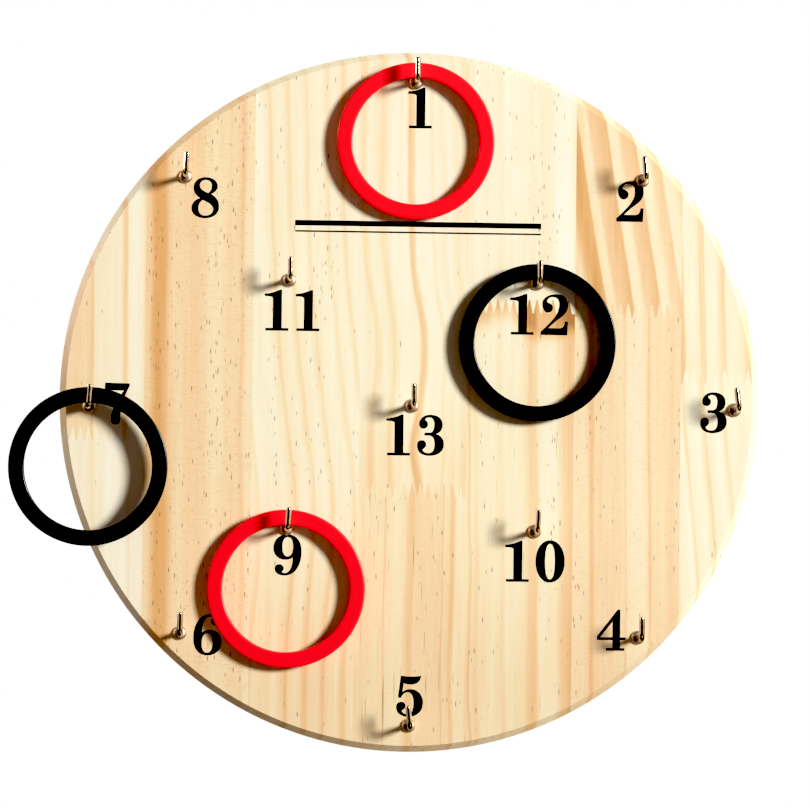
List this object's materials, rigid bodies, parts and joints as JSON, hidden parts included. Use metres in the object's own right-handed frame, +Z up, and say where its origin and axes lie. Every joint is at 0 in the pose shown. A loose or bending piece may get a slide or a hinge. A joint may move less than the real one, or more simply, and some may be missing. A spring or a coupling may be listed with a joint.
{
  "type": "hook and ring game",
  "caption": "Round wooden wall board with numbered square-bend hooks and flat rubber rings that hang on the hooks and lift off.",
  "frame": {"origin": "centre of the board's back face, on the wall plane", "axes": "+Z up, +Y into the wall, -Y out of the board's face, +X to the right of a player who faces the board"},
  "size_m": [0.38, 0.0379, 0.355],
  "materials": {
    "pine": "clear satin lacquer over edge-glued pine",
    "hook_wire": "bright brass plating on steel wire",
    "collar_metal": "bright brass plating, pressed dome",
    "red_rubber": "smooth moulded red rubber",
    "black_rubber": "smooth moulded black rubber",
    "hanger_steel": "zinc-plated steel"
  },
  "bodies": {
    "board": {"stave_1_upper": "pine", "stave_1_lower": "pine", "stave_2": "pine", "stave_3": "pine", "stave_4_upper": "pine", "stave_4_lower": "pine", "stave_5_upper": "pine", "stave_5_lower": "pine", "stave_6_upper": "pine", "stave_6_lower": "pine", "stave_7_upper": "pine", "stave_7_lower": "pine", "hook_1": "hook_wire", "hook_2": "hook_wire", "hook_3": "hook_wire", "hook_4": "hook_wire", "hook_5": "hook_wire", "hook_6": "hook_wire", "hook_7": "hook_wire", "hook_8": "hook_wire", "hook_9": "hook_wire", "hook_10": "hook_wire", "hook_11": "hook_wire", "hook_12": "hook_wire", "hook_13": "hook_wire", "collar_1": "collar_metal", "collar_2": "collar_metal", "collar_3": "collar_metal", "collar_4": "collar_metal", "collar_5": "collar_metal", "collar_6": "collar_metal", "collar_7": "collar_metal", "collar_8": "collar_metal", "collar_9": "collar_metal", "collar_10": "collar_metal", "collar_11": "collar_metal", "collar_12": "collar_metal", "collar_13": "collar_metal", "hanger_plate": "hanger_steel", "hanger_screws": "hanger_steel"},
    "red_ring_on_hook_1": {"red_ring_on_hook_1": "red_rubber"},
    "black_ring_on_hook_7": {"black_ring_on_hook_7": "black_rubber"},
    "red_ring_on_hook_9": {"red_ring_on_hook_9": "red_rubber"},
    "black_ring_on_hook_12": {"black_ring_on_hook_12": "black_rubber"}
  },
  "joints": [
    {"name": "lift_off_hook_1", "type": "slide", "parent": "board", "child": "red_ring_on_hook_1", "axis": [0, -0.5, 0.866], "range_m": [0, 0.09]},
    {"name": "lift_off_hook_7", "type": "slide", "parent": "board", "child": "black_ring_on_hook_7", "axis": [0, -0.2588, 0.9659], "range_m": [0, 0.09]},
    {"name": "lift_off_hook_9", "type": "slide", "parent": "board", "child": "red_ring_on_hook_9", "axis": [0, -0.5, 0.866], "range_m": [0, 0.09]},
    {"name": "lift_off_hook_12", "type": "slide", "parent": "board", "child": "black_ring_on_hook_12", "axis": [0, -0.5, 0.866], "range_m": [0, 0.09]}
  ]
}
